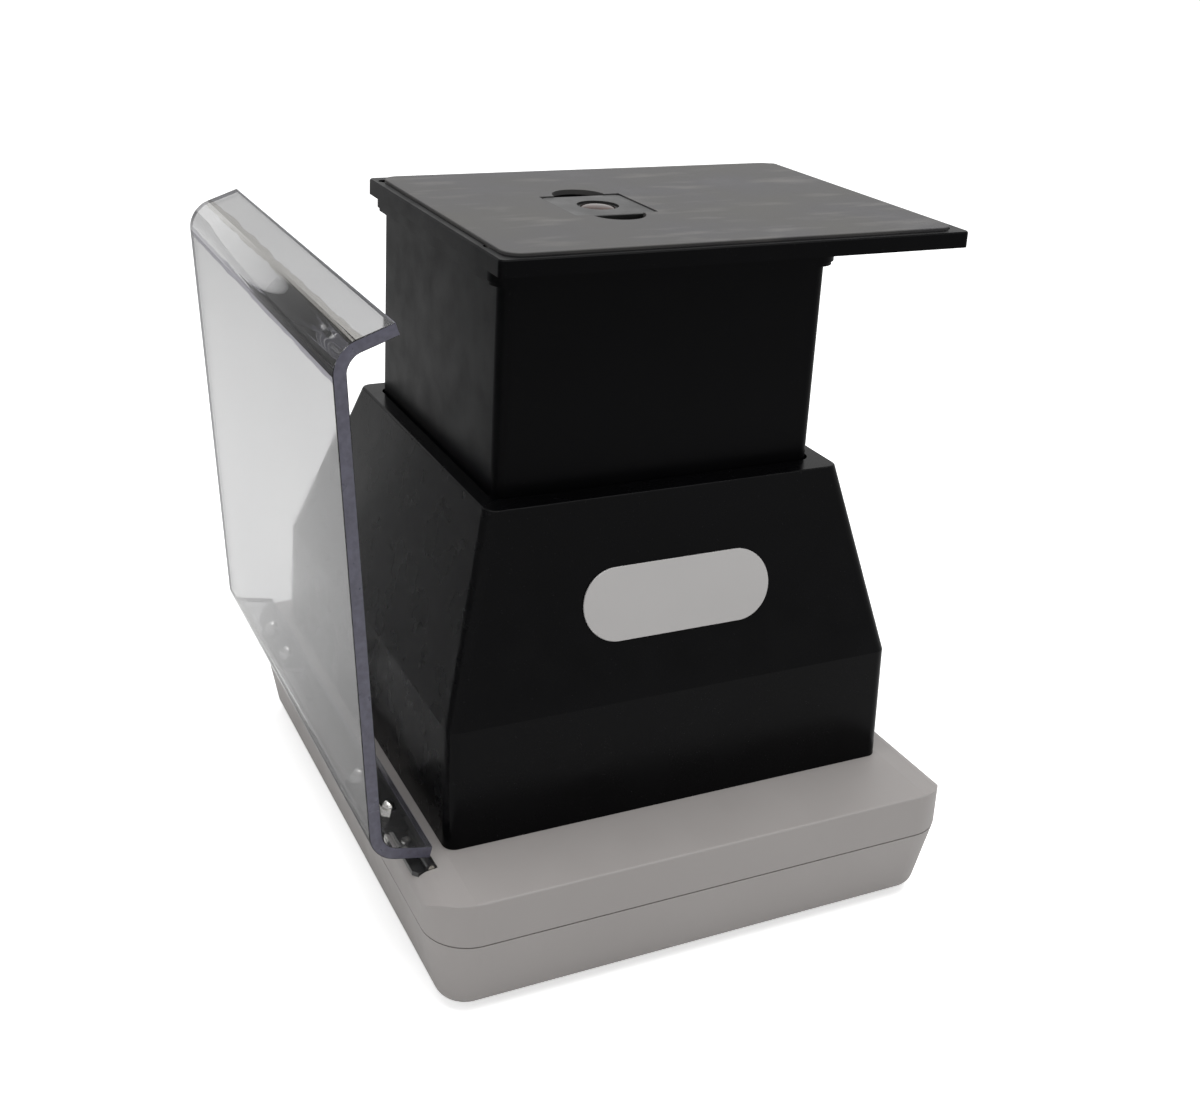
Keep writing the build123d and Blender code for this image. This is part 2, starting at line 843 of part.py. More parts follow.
def make_fuse_cap():
    face = panel_face_y + fuse_flange_thickness
    head_top = face + fuse_cap_gap + fuse_cap_head_height
    cap = rod_along_y(fuse_cap_head_radius, face + fuse_cap_gap, head_top, fuse_x, panel_mid)
    cap = chamfer(cap.edges().group_by(Axis.Y)[-1], fuse_slot_width / 2)
    cap += rod_along_y(fuse_cap_radius, face - fuse_cap_stem, face + fuse_cap_gap, fuse_x, panel_mid)
    slot_y = (head_top - fuse_slot_depth, head_top + fuse_slot_depth)
    slot_x = (fuse_x - fuse_cap_head_radius, fuse_x + fuse_cap_head_radius)
    slot_z = (panel_mid - fuse_slot_width / 2, panel_mid + fuse_slot_width / 2)
    return cap - block(slot_x, slot_y, slot_z)


# Clear shield and its hinges


def shield_point(along, out):
    """A point on the lower lip, by its distance outwards along the lip and off the hinge axis."""
    angle = radians(lip_angle)
    x = hinge_axis_x - along * cos(angle) + out * -sin(angle)
    z = hinge_axis_z - along * sin(angle) + out * cos(angle)
    return x, z


def lip_offset():
    """How far the lower lip's underside lies off the hinge axis."""
    return knuckle_radius + hinge_clearance


def shield_outline():
    """The inner face of the bent sheet, from the lower lip's tip to the upper lip's tip."""
    inside = lip_offset() + sheet_thickness
    tip = shield_point(0.0, inside)
    low_corner = shield_point(lip_length, inside)
    lean = radians(shield_lean)
    high_corner = (low_corner[0] - shield_height * sin(lean), low_corner[1] + shield_height * cos(lean))
    rise = radians(lip_flare + shield_lean)
    high_tip = (high_corner[0] + lip_length * cos(rise), high_corner[1] + lip_length * sin(rise))
    return tip, low_corner, high_corner, high_tip


def make_uv_shield():
    with BuildSketch(Plane.XZ) as section:
        with BuildLine() as bent:
            FilletPolyline(*shield_outline(), radius=bend_radius)
            offset(bent.line, sheet_thickness, side=Side.LEFT)
        make_face()
    sheet = extrude(section.sketch, shield_front - shield_back)
    sheet = Pos(0, shield_front, 0) * sheet
    for y in bolt_places():
        sheet -= lip_rod(bolt_radius + hinge_clearance, lip_offset(), sheet_thickness, y)
    return sheet


def bolt_places():
    places = []
    for place in hinge_places:
        for side in (-1, 1):
            places.append(place + moving_leaf_offset + side * bolt_spacing / 2)
    return places


def lip_frame(y, out):
    """A plane on the lower lip at a bolt, facing away from the hinge axis."""
    x, z = shield_point(bolt_reach, out)
    angle = radians(lip_angle)
    return Plane(origin=(x, y, z), x_dir=(0, 1, 0), z_dir=(-sin(angle), 0, cos(angle)))


def lip_rod(radius, start, length, y):
    """A cylinder square to the lower lip, that starts at a distance off the hinge axis."""
    return extrude(lip_frame(y, start) * Circle(radius), length)


def knuckle_spans():
    """Places along one hinge of its two fixed knuckles and the moving one between them."""
    half = moving_knuckle_length / 2
    middle = moving_leaf_offset
    front = (-fixed_leaf_front, middle - half - hinge_clearance)
    back = (middle + half + hinge_clearance, fixed_leaf_back)
    return front, (middle - half, middle + half), back


def pin_bore(clearance):
    """The hinge pin, or the bore that it runs in."""
    radius = hinge_pin_radius + clearance
    return rod_along_y(radius, -fixed_leaf_front, fixed_leaf_back, hinge_axis_x, hinge_axis_z)


def fixed_leaf():
    """The long leaf screwed down in the deck's pocket, with a knuckle at each end."""
    front, moving, back = knuckle_spans()
    outer = hinge_axis_x - fixed_leaf_reach
    leaf_z = (pocket_seat, pocket_seat + leaf_thickness)
    leaf = block((outer, hinge_axis_x), (-fixed_leaf_front, fixed_leaf_back), leaf_z)
    leaf = chamfer(leaf.edges().filter_by(Axis.Z).sort_by(Axis.X)[:2], leaf_thickness)
    room = knuckle_radius + hinge_clearance
    gap_y = (moving[0] - hinge_clearance, moving[1] + hinge_clearance)
    leaf -= rod_along_y(room, gap_y[0], gap_y[1], hinge_axis_x, hinge_axis_z)
    for span in (front, back):
        leaf += rod_along_y(knuckle_radius, span[0], span[1], hinge_axis_x, hinge_axis_z)
        leaf += block((hinge_axis_x - knuckle_radius, hinge_axis_x), span, (pocket_seat, hinge_axis_z))
    leaf -= pin_bore(thread_clearance)
    for x, y in hinge_screw_places(0.0):
        leaf -= rod(hinge_screw_radius + thread_clearance, 2 * leaf_thickness, x, y, pocket_seat)
    return leaf


def make_hinge_fixed_leaves():
    return joined([Pos(0, place, 0) * fixed_leaf() for place in hinge_places])


def moving_leaf():
    """The short leaf under the lower lip, wrapped round the pin at its knuckle."""
    moving = knuckle_spans()[1]
    near = knuckle_radius + 2 * hinge_clearance
    start = moving_leaf_offset - moving_leaf_length / 2
    flat = leaf_slab(near, moving_leaf_reach, start, start + moving_leaf_length)
    flat = chamfer(flat.edges().filter_by(is_outer_corner), leaf_thickness)
    web = leaf_slab(0.0, near + leaf_thickness, *moving)
    leaf = flat + web + rod_along_y(knuckle_radius, *moving, hinge_axis_x, hinge_axis_z)
    leaf -= pin_bore(hinge_pin_clearance)
    for side in (-1, 1):
        y = moving_leaf_offset + side * bolt_spacing / 2
        leaf -= lip_rod(bolt_radius + hinge_clearance, lip_offset() - leaf_thickness, leaf_thickness, y)
    return leaf


def leaf_slab(near, far, front, back):
    """A stretch of the moving leaf under the lip, between two distances along the lip."""
    top = lip_offset()
    low = top - leaf_thickness
    with BuildSketch(Plane.XZ) as section:
        with BuildLine():
            points = [(near, low), (far, low), (far, top), (near, top)]
            Polyline(*[shield_point(along, out) for along, out in points], close=True)
        make_face()
    return Pos(0, back, 0) * extrude(section.sketch, back - front)


def is_outer_corner(edge):
    """True for the two short edges across the sheet at the leaf's outer end."""
    outer_x = shield_point(moving_leaf_reach, 0.0)[0]
    middle = edge.center()
    short = edge.length < leaf_thickness + hinge_clearance
    return short and middle.X < outer_x + leaf_thickness and abs(edge.tangent_at(0.5).Y) < hinge_clearance


def make_hinge_moving_leaves():
    return joined([Pos(0, place, 0) * moving_leaf() for place in hinge_places])


def make_hinge_pins():
    pins = []
    for place in hinge_places:
        pins.append(Pos(0, place, 0) * pin_bore(0.0))
    return joined(pins)


def make_hinge_screws():
    """Socket screws that hold the fixed leaves down."""
    screws = []
    seat = pocket_seat + leaf_thickness
    head_top = seat + hinge_screw_head_height
    for place in hinge_places:
        for x, y in hinge_screw_places(place):
            head = rod(hinge_screw_head_radius, hinge_screw_head_height, x, y, seat)
            socket_z = head_top - hinge_screw_socket_depth
            socket = hex_socket(hinge_screw_socket, hinge_screw_socket_depth, x, y, socket_z)
            shank = rod(hinge_screw_radius, hinge_screw_length, x, y, seat - hinge_screw_length)
            screws.append(head + shank - socket)
    return joined(screws)


def make_shield_bolts():
    """Bolts up through the moving leaves and the lower lip."""
    low = lip_offset() - leaf_thickness
    length = leaf_thickness + sheet_thickness + nut_height
    bolts = []
    for y in bolt_places():
        head = lip_rod(bolt_head_radius, low - bolt_head_height, bolt_head_height, y)
        bolts.append(head + lip_rod(bolt_radius, low, length, y))
    return joined(bolts)


def make_shield_nuts():
    """Dome nuts on the bolts, on the inner face of the lip."""
    start = lip_offset() + sheet_thickness
    nuts = []
    for y in bolt_places():
        hexagon = lip_frame(y, start) * RegularPolygon(nut_flats / 2, 6, major_radius=False)
        nut = extrude(hexagon, nut_height)
        dome = extrude(lip_frame(y, start) * Circle(nut_dome_radius), nut_height + nut_dome_height)
        dome = fillet(dome.edges().filter_by(GeomType.CIRCLE).sort_by(Axis.Z)[-1], nut_dome_round)
        bore = lip_rod(bolt_radius + thread_clearance, start, nut_height + hinge_clearance, y)
        nuts.append(nut + dome - bore)
    return joined(nuts)


# Hood


def hood_section(z, width, front, back, radius):
    """One level of the hood as a rounded rectangle."""
    return Pos(0, (front + back) / 2, z) * RectangleRounded(width, back - front, radius)


def hood_body(inset):
    """Skirt and leaning faces, set in by a wall."""
    radius = hood_corner_radius - inset
    skirt_half = hood_depth / 2 - inset
    foot = hood_section(deck_height, hood_width - 2 * inset, -skirt_half, skirt_half, radius)
    width = hood_crease_width - 2 * inset
    crease = hood_section(crease_z, width, hood_crease_front + inset, hood_crease_back - inset, radius)
    width = hood_rim_width - 2 * inset
    front = hood_rim_front + inset
    back = hood_rim_back - inset
    rim = hood_section(rim_z, width, front, back, radius)
    return loft([foot, crease], ruled=True) + loft([crease, rim], ruled=True)


def tower_plan(grow, low, high):
    """The tower's outline grown by a margin, between two heights."""
    width = tower_width + 2 * grow
    depth = tower_depth + 2 * grow
    prism = plate(width, depth, high - low, tower_corner_radius + grow, low)
    return Pos(0, tower_mid, 0) * prism


def make_hood_shell():
    hood = hood_body(0.0)
    top_edges = hood.faces().sort_by(Axis.Z)[-1].edges()
    hood = fillet(top_edges, hood_rim_round)
    below_rim = block((-hood_width, hood_width), (-hood_depth, hood_depth), (0, rim_z - hood_wall))
    hood -= hood_body(hood_wall) & below_rim
    hood += tower_plan(tower_gap + sleeve_wall, sleeve_bottom, rim_z - hood_wall / 2)
    return hood - tower_plan(tower_gap, 0, rim_z + hood_wall)


def make_friction_pads():
    """Four felt pads inside the sleeve, that steady the tower."""
    pads = []
    z_span = (sleeve_bottom + travel_gap, sleeve_bottom + travel_gap + pad_height)
    outer_x = tower_width / 2 + tower_gap
    half = pad_length / 2
    for side in (-1, 1):
        x_span = sorted((side * outer_x, side * (outer_x - pad_thickness)))
        pads.append(block(x_span, (tower_mid - half, tower_mid + half), z_span))
    front = tower_front - tower_gap
    back = tower_back + tower_gap
    for y_span in ((front, front + pad_thickness), (back - pad_thickness, back)):
        pads.append(block((-half, half), y_span, z_span))
    return joined(pads)


def hood_front_plane():
    """The plane of the hood's leaning front, with its origin at the middle of the name plate."""
    run = hood_rim_front - hood_crease_front
    rise = rim_z - crease_z
    slope = hypot(run, rise)
    y = hood_crease_front + run / slope * plate_rise
    z = crease_z + rise / slope * plate_rise
    return Plane(origin=(0, y, z), x_dir=(1, 0, 0), z_dir=(0, -rise, run))


def make_name_plate():
    blank = extrude(hood_front_plane() * SlotOverall(plate_width, plate_height), plate_thickness)
    front_edges = blank.faces().sort_by(Axis.Y)[0].edges()
    return fillet(front_edges, plate_edge_round)


# Tower


def make_tower_shell():
    outer = tower_plan(0.0, tower_bottom, tray_z)
    inner = tower_plan(-tower_wall, tower_bottom, tray_z)
    return outer - inner


def make_tower_stop_frame():
    """The frame round the tower's foot that stops it under the sleeve."""
    outer = tower_plan(stop_width, tower_bottom, tower_bottom + stop_height)
    return outer - tower_plan(collar_gap, tower_bottom, tower_bottom + stop_height)


def make_tower_collar():
    """The collar round the tower's head that carries the tray."""
    low = tray_z - collar_height
    outer = tower_plan(collar_proud, low + collar_lip_height, tray_z)
    outer += tower_plan(collar_proud - collar_lip_height / 2, low, tray_z)
    collar = outer - tower_plan(collar_gap, low, tray_z)
    bore_radius = tray_screw_radius + thread_clearance
    for x, y in tray_screw_places():
        collar -= rod(bore_radius, tray_screw_length, x, y, tray_z - tray_screw_length)
    return collar


def tray_screw_places():
    """Screw centres over the collar's corners."""
    x = tower_width / 2 + collar_proud / 2
    y = tower_depth / 2 - tray_screw_inset
    return [(side_x, tower_mid + side_y) for side_x, side_y in corners(x, y)]


# Tray, mat and filter


def tray_plan(inset, radius, low, high):
    """The tray's outline set in by a margin, between two heights."""
    width = tray_right - tray_left - 2 * inset
    depth = tray_back - tray_front - 2 * inset
    prism = plate(width, depth, high - low, radius, low)
    return Pos((tray_left + tray_right) / 2, (tray_front + tray_back) / 2, 0) * prism


def pocket(grow, low, high):
    """Square pocket of the filter holder, with a finger notch at its front and back."""
    side = holder_side + 2 * grow
    square = Rectangle(side, side)
    for reach in (-side / 2, side / 2):
        square += Pos(0, reach) * Circle(finger_radius)
    return Pos(holder_x, holder_y, low) * extrude(square, high - low)


def make_phone_tray():
    tray = tray_plan(0.0, tray_corner_radius, tray_z, tray_top)
    tray = chamfer(tray.faces().sort_by(Axis.Z)[-1].edges(), tray_edge_chamfer)
    tray -= tray_plan(mat_inset - mat_gap, mat_corner_radius + mat_gap, tray_top - mat_recess, tray_top)
    tray -= pocket(holder_gap, pocket_floor, tray_top)
    tray -= Pos(holder_x, holder_y, 0) * rod(view_hole_radius, tray_thickness, 0, 0, tray_z)
    for x, y in tray_screw_places():
        tray -= rod(tray_screw_radius + screw_clearance, tray_thickness, x, y, tray_z)
        seat = tray_top - mat_recess - tray_screw_head_height - mould_gap
        tray -= rod(tray_screw_head_radius + screw_clearance, tray_thickness, x, y, seat)
    return tray


def make_tray_screws():
    screws = []
    seat = tray_top - mat_recess - tray_screw_head_height - mould_gap
    for x, y in tray_screw_places():
        head = rod(tray_screw_head_radius, tray_screw_head_height, x, y, seat)
        shank = rod(tray_screw_radius, seat - tray_z + tray_screw_length, x, y, tray_z - tray_screw_length)
        socket_z = seat + tray_screw_head_height - tray_screw_socket_depth
        socket = hex_socket(tray_screw_socket_radius, tray_screw_socket_depth, x, y, socket_z)
        screws.append(head + shank - socket)
    return joined(screws)


def make_tray_mat():
    """Soft mat in the tray's shallow recess, cut out round the pocket."""
    low = tray_top - mat_recess
    mat = tray_plan(mat_inset, mat_corner_radius, low, mat_top)
    mat = fillet(mat.faces().sort_by(Axis.Z)[-1].edges(), mat_edge_round)
    return mat - pocket(holder_gap, low, mat_top)


def make_filter_holder():
    """Square slide with a stepped round window."""
    top = pocket_floor + holder_thickness
    slide = plate(holder_side, holder_side, holder_thickness, holder_corner_radius, pocket_floor)
    slide = fillet(slide.faces().sort_by(Axis.Z)[-1].edges(), mat_edge_round)
    slide -= rod(lens_radius, holder_thickness, 0, 0, pocket_floor)
    slide -= rod(lens_step_radius, lens_step_depth, 0, 0, top - lens_step_depth)
    slide -= rod(lens_seat_radius, lens_seat_depth, 0, 0, pocket_floor)
    return Pos(holder_x, holder_y, 0) * slide


def make_filter_glass():
    top = pocket_floor + lens_seat_depth
    glass = rod(lens_glass_radius, lens_glass_thickness, 0, 0, top - lens_glass_thickness)
    return Pos(holder_x, holder_y, 0) * glass


def make_filter_ring():
    """Ring that keeps the round glass in its seat, with two key notches."""
    height = lens_seat_depth - lens_glass_thickness
    ring = rod(lens_ring_radius, height, z=pocket_floor) - rod(lens_ring_bore, height, z=pocket_floor)
    notch_x = (-lens_seat_radius, lens_seat_radius)
    notch_y = (-lens_ring_notch / 2, lens_ring_notch / 2)
    ring -= block(notch_x, notch_y, (pocket_floor, pocket_floor + height / 2))
    return Pos(holder_x, holder_y, 0) * ring


base_nodes = {
    "base_upper_cover": make_base_upper_cover,
    "base_lower_tray": make_base_lower_tray,
    "base_feet": make_base_feet,
    "base_screws": make_base_screws,
    "uv_filter_glass": make_uv_filter_glass,
    "glass_bezel": make_glass_bezel,
    "uv_lamps": make_uv_lamps,
    "lamp_end_bars": make_lamp_end_bars,
    "reflector": make_reflector,
    "ballasts": make_ballasts,
    "rear_panel": make_rear_panel,
    "panel_screws": make_panel_screws,
    "mains_inlet": make_mains_inlet,
    "switch_housing": make_switch_housing,
    "power_rocker": make_power_rocker,
    "fuse_holder": make_fuse_holder,
    "fuse": make_fuse,
    "fuse_cap": make_fuse_cap,
}

hood_nodes = {
    "uv_shield": make_uv_shield,
    "hinge_fixed_leaves": make_hinge_fixed_leaves,
    "hinge_moving_leaves": make_hinge_moving_leaves,
    "hinge_pins": make_hinge_pins,
    "hinge_screws": make_hinge_screws,
    "shield_bolts": make_shield_bolts,
    "shield_nuts": make_shield_nuts,
    "hood_shell": make_hood_shell,
    "friction_pads": make_friction_pads,
    "name_plate": make_name_plate,
    "tower_shell": make_tower_shell,
    "tower_stop_frame": make_tower_stop_frame,
    "tower_collar": make_tower_collar,
    "phone_tray": make_phone_tray,
    "tray_screws": make_tray_screws,
    "tray_mat": make_tray_mat,
    "filter_holder": make_filter_holder,
    "filter_glass": make_filter_glass,
    "filter_ring": make_filter_ring,
}

os.makedirs("parts", exist_ok=True)
for group, group_y in ((base_nodes, 0.0), (hood_nodes, hood_setback)):
    for name, make in group.items():
        export_step(Pos(centreline_x, group_y, 0) * make(), f"parts/{name}.step")
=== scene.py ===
from math import cos, pi, radians, sin, tan

import bmesh
import bpy
from mathutils import Matrix, Vector


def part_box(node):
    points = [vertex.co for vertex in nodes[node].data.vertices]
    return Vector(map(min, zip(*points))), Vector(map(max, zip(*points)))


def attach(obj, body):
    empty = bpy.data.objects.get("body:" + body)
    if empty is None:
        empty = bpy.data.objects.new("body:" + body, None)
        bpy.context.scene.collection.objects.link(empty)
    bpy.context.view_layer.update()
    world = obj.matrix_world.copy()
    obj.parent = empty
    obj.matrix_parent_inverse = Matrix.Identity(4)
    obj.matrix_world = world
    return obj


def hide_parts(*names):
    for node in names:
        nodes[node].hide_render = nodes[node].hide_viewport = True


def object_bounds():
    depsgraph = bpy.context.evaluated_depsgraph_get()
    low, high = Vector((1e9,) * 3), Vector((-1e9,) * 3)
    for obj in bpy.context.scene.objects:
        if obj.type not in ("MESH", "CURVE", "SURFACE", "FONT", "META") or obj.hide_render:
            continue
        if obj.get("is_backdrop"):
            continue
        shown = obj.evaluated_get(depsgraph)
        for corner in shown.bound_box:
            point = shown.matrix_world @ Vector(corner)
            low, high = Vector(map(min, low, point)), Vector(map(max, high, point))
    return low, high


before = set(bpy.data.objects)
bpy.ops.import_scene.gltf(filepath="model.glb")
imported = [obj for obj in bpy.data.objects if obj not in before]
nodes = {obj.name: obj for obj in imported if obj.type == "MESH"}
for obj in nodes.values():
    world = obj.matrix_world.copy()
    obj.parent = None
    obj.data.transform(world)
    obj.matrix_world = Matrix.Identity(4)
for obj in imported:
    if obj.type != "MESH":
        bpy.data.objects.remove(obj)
cad_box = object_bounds()

# The base's upper cover is a warm grey moulding with a fine spark-eroded grain and slightly polished
# edges. It is clipped on the lower tray and held by four screws from below. Sizes in metres.


def tone(hexadecimal):
    """A printed colour such as "9A9795" as the linear values that a shader takes."""
    values = [int(hexadecimal[i : i + 2], 16) / 255 for i in (0, 2, 4)]
    return [v / 12.92 if v <= 0.04045 else ((v + 0.055) / 1.055) ** 2.4 for v in values] + [1.0]


def start_material(name):
    """A new material, its principled shader, and the object's own coordinates."""
    material = bpy.data.materials.new(name)
    material.use_nodes = True
    tree = material.node_tree
    shader = tree.nodes["Principled BSDF"]
    place = tree.nodes.new("ShaderNodeTexCoord").outputs["Object"]
    return material, tree, shader, place


def noise(tree, place, scale, detail=3.0, stretch=None):
    """Mottle of one size. A stretch draws it out along an axis, as brushing does."""
    texture = tree.nodes.new("ShaderNodeTexNoise")
    texture.inputs["Scale"].default_value = scale
    texture.inputs["Detail"].default_value = detail
    if stretch:
        mapping = tree.nodes.new("ShaderNodeMapping")
        mapping.inputs["Scale"].default_value = stretch
        tree.links.new(place, mapping.inputs["Vector"])
        place = mapping.outputs["Vector"]
    tree.links.new(place, texture.inputs["Vector"])
    return texture.outputs["Fac"]


def between(tree, value, low, high, from_low=0.3, from_high=0.7):
    """Runs a mottle from one number to another."""
    ramp = tree.nodes.new("ShaderNodeMapRange")
    ramp.inputs["From Min"].default_value = from_low
    ramp.inputs["From Max"].default_value = from_high
    ramp.inputs["To Min"].default_value = low
    ramp.inputs["To Max"].default_value = high
    tree.links.new(value, ramp.inputs["Value"])
    return ramp.outputs["Result"]


def blended(tree, factor, first, second):
    """Two colours, each a tone or another node's output, mixed by a factor."""
    mix = tree.nodes.new("ShaderNodeMix")
    mix.data_type = "RGBA"
    tree.links.new(factor, mix.inputs["Factor"])
    for socket, colour in ((mix.inputs[6], first), (mix.inputs[7], second)):
        if isinstance(colour, bpy.types.NodeSocket):
            tree.links.new(colour, socket)
        else:
            socket.default_value = colour
    return mix.outputs[2]


def bump(tree, shader, height, strength, distance):
    """Raises the surface by a mottle."""
    relief = tree.nodes.new("ShaderNodeBump")
    relief.inputs["Strength"].default_value = strength
    relief.inputs["Distance"].default_value = distance
    tree.links.new(height, relief.inputs["Height"])
    tree.links.new(relief.outputs["Normal"], shader.inputs["Normal"])


def darker(colour, share):
    """The colour times a share."""
    return [value * share for value in colour[:3]] + [1.0]


def moulding(name, colour, gloss, grain, depth, mottle=0.06, rough_spread=0.06, lint=None, shine=0.5):
    """Moulded plastic: a colour that drifts a little, a grain, and a gloss worn unevenly by hands."""
    material, tree, shader, place = start_material(name)
    drift = between(tree, noise(tree, place, 14.0, 4.0), 0.0, 1.0)
    body = blended(tree, drift, darker(colour, 1 - mottle), darker(colour, 1 + mottle))
    if lint:
        specks = noise(tree, place, 900.0, 1.0)
        body = blended(tree, between(tree, specks, 0.0, 1.0, 0.74, 0.80), body, lint)
    tree.links.new(body, shader.inputs["Base Color"])
    wear = between(tree, noise(tree, place, 55.0, 5.0), gloss - rough_spread, gloss + rough_spread)
    tree.links.new(wear, shader.inputs["Roughness"])
    bump(tree, shader, noise(tree, place, grain, 2.0), 0.35, depth)
    shader.inputs["Specular IOR Level"].default_value = shine
    return material


def finish(material, *names):
    """Gives CAD pieces their finish."""
    for name in names:
        slots = nodes[name].data.materials
        slots.clear()
        slots.append(material)


housing_plastic = moulding("housing grey plastic", tone("979391"), 0.48, 1500.0, 0.00006, 0.03, shine=0.35)
finish(housing_plastic, "base_upper_cover", "base_lower_tray")

# Four black rubber feet are plugged into the tray's floor from below, one near each corner. Dust dulls
# the rubber and settles in its grain.

foot_rubber = moulding("foot rubber", tone("1E1E1F"), 0.8, 2200.0, 0.00008, 0.2, 0.08, tone("4A4846"), 0.25)
finish(foot_rubber, "base_feet")

# Zinc-plated screws hold the two halves, the rear panel, the hinges and the tray. The plating is faintly
# yellow and brushed round by the driver.


def plated(name, colour, gloss, streak):
    """Bare or plated metal with fine streaks and dull patches."""
    material, tree, shader, place = start_material(name)
    patches = noise(tree, place, 260.0, 5.0)
    body = blended(tree, between(tree, patches, 0.0, 1.0), darker(colour, 0.86), colour)
    tree.links.new(body, shader.inputs["Base Color"])
    fine = noise(tree, place, 700.0, 3.0, streak)
    tree.links.new(between(tree, fine, gloss * 0.7, gloss * 1.3), shader.inputs["Roughness"])
    bump(tree, shader, fine, 0.2, 0.00002)
    shader.inputs["Metallic"].default_value = 1.0
    return material


zinc_plate = plated("zinc plate", tone("C9C7BF"), 0.26, (1, 1, 4))
finish(zinc_plate, "base_screws", "panel_screws", "hinge_pins", "tray_screws")

# The filter glass in the deck passes ultraviolet and looks almost black, with a violet cast. A frame of
# brushed stainless sheet lies round it, level with the glass.

filter_pane, tree, shader, place = start_material("uv filter glass")
cast = blended(tree, between(tree, noise(tree, place, 9.0), 0.0, 1.0), tone("171226"), tone("241B3C"))
tree.links.new(cast, shader.inputs["Base Color"])
tree.links.new(between(tree, noise(tree, place, 40.0, 6.0), 0.03, 0.12), shader.inputs["Roughness"])
bump(tree, shader, noise(tree, place, 25.0), 0.05, 0.0001)
shader.inputs["Transmission Weight"].default_value = 0.25
shader.inputs["IOR"].default_value = 1.5
finish(filter_pane, "uv_filter_glass")

frame_steel = plated("brushed stainless", tone("B9B9B7"), 0.3, (0.02, 1, 1))
finish(frame_steel, "glass_bezel")

# Four ultraviolet tubes with aluminium caps plug into white end bars over a folded bright reflector, fed
# by two ballasts in white painted cases.

tube_glass, tree, shader, place = start_material("lamp tube")
split = tree.nodes.new("ShaderNodeSeparateXYZ")
tree.links.new(place, split.inputs["Vector"])
across = tree.nodes.new("ShaderNodeMath")
across.operation = "ABSOLUTE"
lamp_low, lamp_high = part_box("uv_lamps")
lamp_middle = (lamp_low.y + lamp_high.y) / 2
shifted = tree.nodes.new("ShaderNodeMath")
shifted.operation = "SUBTRACT"
shifted.inputs[1].default_value = lamp_middle
tree.links.new(split.outputs["Y"], shifted.inputs[0])
tree.links.new(shifted.outputs[0], across.inputs[0])
glass_end = 0.0965
cap_start = 0.0975
at_cap = between(tree, across.outputs[0], 0.0, 1.0, glass_end, cap_start)
coating = blended(tree, between(tree, noise(tree, place, 120.0), 0.0, 1.0), tone("D5D6E2"), tone("ECECF2"))
tree.links.new(blended(tree, at_cap, coating, tone("BDBEC0")), shader.inputs["Base Color"])
tree.links.new(at_cap, shader.inputs["Metallic"])
tree.links.new(between(tree, noise(tree, place, 300.0), 0.16, 0.3), shader.inputs["Roughness"])
bump(tree, shader, noise(tree, place, 900.0), 0.1, 0.00002)
finish(tube_glass, "uv_lamps")

bar_plastic = moulding("end bar plastic", tone("DEDDD8"), 0.45, 1800.0, 0.00005)
finish(bar_plastic, "lamp_end_bars")

reflector_sheet = plated("bright reflector sheet", tone("DADBDD"), 0.16, (1, 0.03, 1))
finish(reflector_sheet, "reflector")

case_paint = moulding("ballast case paint", tone("D6D5D0"), 0.38, 700.0, 0.00008)
finish(case_paint, "ballasts")

# The rear panel is steel sheet, powder-coated black with a fine orange peel. It is screwed into a pocket
# of the lower tray and carries the mains parts.

powder_coat = moulding("powder coat", tone("19191A"), 0.5, 1300.0, 0.00012, 0.12, 0.07)
finish(powder_coat, "rear_panel")

# Mains inlet, switch housing, rocker, fuse holder and cap are black moulded nylon. The inlet has
# three plated pins, set in its floor.

nylon = moulding("black nylon", tone("141414"), 0.36, 1600.0, 0.00005, 0.15, 0.08)
finish(nylon, "mains_inlet", "switch_housing", "power_rocker", "fuse_holder", "fuse_cap")


def new_piece(mesh, name, material, body, smooth=35):
    """Turns a finished bmesh into a piece that rides on a body."""
    bmesh.ops.remove_doubles(mesh, verts=mesh.verts, dist=1e-6)
    bmesh.ops.recalc_face_normals(mesh, faces=mesh.faces)
    data = bpy.data.meshes.new(name)
    mesh.to_mesh(data)
    mesh.free()
    piece = bpy.data.objects.new(name, data)
    bpy.context.scene.collection.objects.link(piece)
    data.materials.append(material)
    for polygon in data.polygons:
        polygon.use_smooth = True
    data.set_sharp_from_angle(angle=radians(smooth))
    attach(piece, body)
    return piece


inlet_low, inlet_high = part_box("mains_inlet")
inlet_x = (inlet_low.x + inlet_high.x) / 2
inlet_z = (inlet_low.z + inlet_high.z) / 2
pin_size = (0.0021, 0.0104, 0.0041)
pin_depth = 0.0114
pin_round = 0.0004
pins = bmesh.new()
for x, z in ((-0.007, -0.001), (0.0, 0.001), (0.007, -0.001)):
    corners = bmesh.ops.create_cube(pins, size=1.0)["verts"]
    bmesh.ops.scale(pins, vec=pin_size, verts=corners)
    bmesh.ops.translate(pins, vec=(inlet_x + x, inlet_high.y - pin_depth, inlet_z + z), verts=corners)
    edges = list({edge for corner in corners for edge in corner.link_edges})
    bmesh.ops.bevel(
        pins, geom=edges, offset=pin_round, segments=3, profile=0.5, affect="EDGES", material=-1
    )
pin_plate = plated("pin plate", tone("C8C4B6"), 0.2, (1, 0.2, 1))
inlet_pins = new_piece(pins, "inlet_pins", pin_plate, "base")

# A glass fuse with plated end caps lies in the holder, pressed in by the holder's cap. Little of it shows
# unless the cap is off.

fuse_tube = plated("fuse cap plate", tone("C4C2BC"), 0.2, (1, 0.2, 1))
finish(fuse_tube, "fuse")

# Two black hinges stand in pockets on the deck's left shoulder. Their leaves are coated steel, held by
# socket screws, and dome nuts on polished bolts clamp the clear sheet's lower lip to the short leaves.

